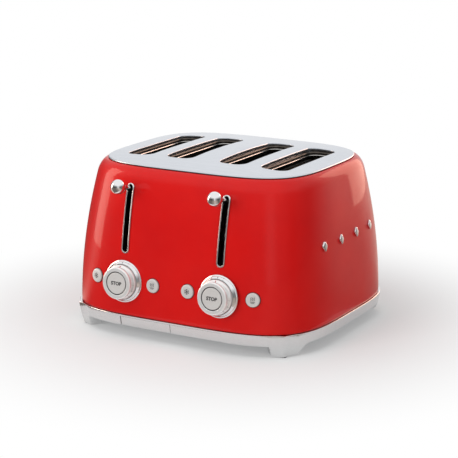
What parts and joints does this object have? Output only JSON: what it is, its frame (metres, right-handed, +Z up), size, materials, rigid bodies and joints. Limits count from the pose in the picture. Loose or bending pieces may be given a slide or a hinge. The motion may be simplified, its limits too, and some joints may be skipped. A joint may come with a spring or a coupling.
{
  "type": "toaster",
  "caption": "Pop-up toaster: flared enamelled casing, domed metal top with long bread slots, ball levers, browning dials and crumb trays that slide out.",
  "frame": {"origin": "on the standing surface, under the centre of the overall box", "axes": "+X to the right seen from the front, -Y out of the front with the levers and dials, +Z up"},
  "size_m": [0.33, 0.3138, 0.209],
  "materials": {
    "red_enamel": "gloss",
    "brushed_top": "satin",
    "chrome": "polished",
    "satin_chrome": "satin",
    "galvanised": "dull",
    "mica": "matte",
    "board": "matte",
    "copper": "satin",
    "spring_steel": "satin",
    "rubber": "matte"
  },
  "bodies": {
    "body": {"case_shell": "red_enamel", "top_panel": "brushed_top", "well_plate": "galvanised", "base_ring": "chrome", "bottom_plate": "galvanised", "cord_gland": "rubber", "front_chassis_plate": "galvanised", "rear_chassis_plate": "galvanised", "foot_pad_front_left": "rubber", "foot_pad_rear_left": "rubber", "lever_trim_left": "chrome", "dial_bezel_left": "chrome", "control_board_left": "board", "guide_rod_left": "spring_steel", "electromagnet_left": "copper", "return_spring_left": "spring_steel", "foot_pad_front_right": "rubber", "foot_pad_rear_right": "rubber", "lever_trim_right": "chrome", "dial_bezel_right": "chrome", "control_board_right": "board", "guide_rod_right": "spring_steel", "electromagnet_right": "copper", "return_spring_right": "spring_steel", "heater_card_1": "mica", "heater_card_2": "mica", "heater_card_3": "mica", "heater_card_4": "mica", "heater_card_5": "mica", "heater_card_6": "mica", "badge_1": "chrome", "badge_2": "chrome", "badge_3": "chrome", "badge_4": "chrome"},
    "carriage_left": {"carriage_left": "galvanised", "lever_knob_left": "chrome", "bread_rack_1": "spring_steel", "bread_rack_2": "spring_steel"},
    "carriage_right": {"carriage_right": "galvanised", "lever_knob_right": "chrome", "bread_rack_3": "spring_steel", "bread_rack_4": "spring_steel"},
    "bread_guide_1_left": {"bread_guide_1_left": "spring_steel"},
    "bread_guide_1_right": {"bread_guide_1_right": "spring_steel"},
    "bread_guide_2_left": {"bread_guide_2_left": "spring_steel"},
    "bread_guide_2_right": {"bread_guide_2_right": "spring_steel"},
    "bread_guide_3_left": {"bread_guide_3_left": "spring_steel"},
    "bread_guide_3_right": {"bread_guide_3_right": "spring_steel"},
    "bread_guide_4_left": {"bread_guide_4_left": "spring_steel"},
    "bread_guide_4_right": {"bread_guide_4_right": "spring_steel"},
    "browning_dial_left": {"browning_dial_left": "satin_chrome"},
    "stop_button_left": {"stop_button_left": "satin_chrome"},
    "defrost_button_left": {"defrost_button_left": "satin_chrome"},
    "reheat_button_left": {"reheat_button_left": "satin_chrome"},
    "crumb_tray_left": {"crumb_tray_left": "brushed_top"},
    "browning_dial_right": {"browning_dial_right": "satin_chrome"},
    "stop_button_right": {"stop_button_right": "satin_chrome"},
    "defrost_button_right": {"defrost_button_right": "satin_chrome"},
    "reheat_button_right": {"reheat_button_right": "satin_chrome"},
    "crumb_tray_right": {"crumb_tray_right": "brushed_top"}
  },
  "joints": [
    {"name": "lever_slide_left", "type": "slide", "parent": "body", "child": "carriage_left", "axis": [0, 0, 1], "range_m": [-0.07, 0], "stiffness_N_per_m": 60, "springref_m": 0.09, "deforming": ["return_spring_left"]},
    {"name": "lever_slide_right", "type": "slide", "parent": "body", "child": "carriage_right", "axis": [0, 0, 1], "range_m": [-0.07, 0], "stiffness_N_per_m": 60, "springref_m": 0.09, "deforming": ["return_spring_right"]},
    {"name": "bread_guide_1_left_hinge", "type": "hinge", "parent": "body", "child": "bread_guide_1_left", "pos_m": [-0.112, 0.00546, 0.048], "axis": [0, 1, 0], "range_deg": [0, 4.2]},
    {"name": "bread_guide_1_right_hinge", "type": "hinge", "parent": "body", "child": "bread_guide_1_right", "pos_m": [-0.071, 0.00546, 0.048], "axis": [0, 1, 0], "range_deg": [-4.2, 0]},
    {"name": "bread_guide_2_left_hinge", "type": "hinge", "parent": "body", "child": "bread_guide_2_left", "pos_m": [-0.0565, 0.00546, 0.048], "axis": [0, 1, 0], "range_deg": [0, 4.2]},
    {"name": "bread_guide_2_right_hinge", "type": "hinge", "parent": "body", "child": "bread_guide_2_right", "pos_m": [-0.0155, 0.00546, 0.048], "axis": [0, 1, 0], "range_deg": [-4.2, 0]},
    {"name": "bread_guide_3_left_hinge", "type": "hinge", "parent": "body", "child": "bread_guide_3_left", "pos_m": [0.0155, 0.00546, 0.048], "axis": [0, 1, 0], "range_deg": [0, 4.2]},
    {"name": "bread_guide_3_right_hinge", "type": "hinge", "parent": "body", "child": "bread_guide_3_right", "pos_m": [0.0565, 0.00546, 0.048], "axis": [0, 1, 0], "range_deg": [-4.2, 0]},
    {"name": "bread_guide_4_left_hinge", "type": "hinge", "parent": "body", "child": "bread_guide_4_left", "pos_m": [0.071, 0.00546, 0.048], "axis": [0, 1, 0], "range_deg": [0, 4.2]},
    {"name": "bread_guide_4_right_hinge", "type": "hinge", "parent": "body", "child": "bread_guide_4_right", "pos_m": [0.112, 0.00546, 0.048], "axis": [0, 1, 0], "range_deg": [-4.2, 0]},
    {"name": "browning_turn_left", "type": "hinge", "parent": "body", "child": "browning_dial_left", "pos_m": [-0.0646, -0.13825, 0.0688], "axis": [0, -0.9975, 0.0706], "range_deg": [-135, 135]},
    {"name": "stop_press_left", "type": "slide", "parent": "body", "child": "stop_button_left", "axis": [0, -0.9975, 0.0706], "range_m": [-0.002, 0], "stiffness_N_per_m": 700, "springref_m": 0.001},
    {"name": "defrost_press_left", "type": "slide", "parent": "body", "child": "defrost_button_left", "axis": [-0.2718, -0.9591, 0.0795], "range_m": [-0.002, 0], "stiffness_N_per_m": 500, "springref_m": 0.001},
    {"name": "reheat_press_left", "type": "slide", "parent": "body", "child": "reheat_button_left", "axis": [-0.0026, -0.9977, 0.0682], "range_m": [-0.002, 0], "stiffness_N_per_m": 500, "springref_m": 0.001},
    {"name": "crumb_tray_slide_left", "type": "slide", "parent": "body", "child": "crumb_tray_left", "axis": [0, -1, 0], "range_m": [0, 0.2]},
    {"name": "browning_turn_right", "type": "hinge", "parent": "body", "child": "browning_dial_right", "pos_m": [0.0646, -0.13825, 0.0688], "axis": [0, -0.9975, 0.0706], "range_deg": [-135, 135]},
    {"name": "stop_press_right", "type": "slide", "parent": "body", "child": "stop_button_right", "axis": [0, -0.9975, 0.0706], "range_m": [-0.002, 0], "stiffness_N_per_m": 700, "springref_m": 0.001},
    {"name": "defrost_press_right", "type": "slide", "parent": "body", "child": "defrost_button_right", "axis": [0.0026, -0.9977, 0.0682], "range_m": [-0.002, 0], "stiffness_N_per_m": 500, "springref_m": 0.001},
    {"name": "reheat_press_right", "type": "slide", "parent": "body", "child": "reheat_button_right", "axis": [0.2718, -0.9591, 0.0795], "range_m": [-0.002, 0], "stiffness_N_per_m": 500, "springref_m": 0.001},
    {"name": "crumb_tray_slide_right", "type": "slide", "parent": "body", "child": "crumb_tray_right", "axis": [0, -1, 0], "range_m": [0, 0.2]}
  ],
  "couplings": [
    {"joint": "bread_guide_1_left_hinge", "follows": "lever_slide_left", "rad_per_m": -1.0462},
    {"joint": "bread_guide_1_right_hinge", "follows": "lever_slide_left", "rad_per_m": 1.0462},
    {"joint": "bread_guide_2_left_hinge", "follows": "lever_slide_left", "rad_per_m": -1.0462},
    {"joint": "bread_guide_2_right_hinge", "follows": "lever_slide_left", "rad_per_m": 1.0462},
    {"joint": "bread_guide_3_left_hinge", "follows": "lever_slide_right", "rad_per_m": -1.0462},
    {"joint": "bread_guide_3_right_hinge", "follows": "lever_slide_right", "rad_per_m": 1.0462},
    {"joint": "bread_guide_4_left_hinge", "follows": "lever_slide_right", "rad_per_m": -1.0462},
    {"joint": "bread_guide_4_right_hinge", "follows": "lever_slide_right", "rad_per_m": 1.0462}
  ]
}
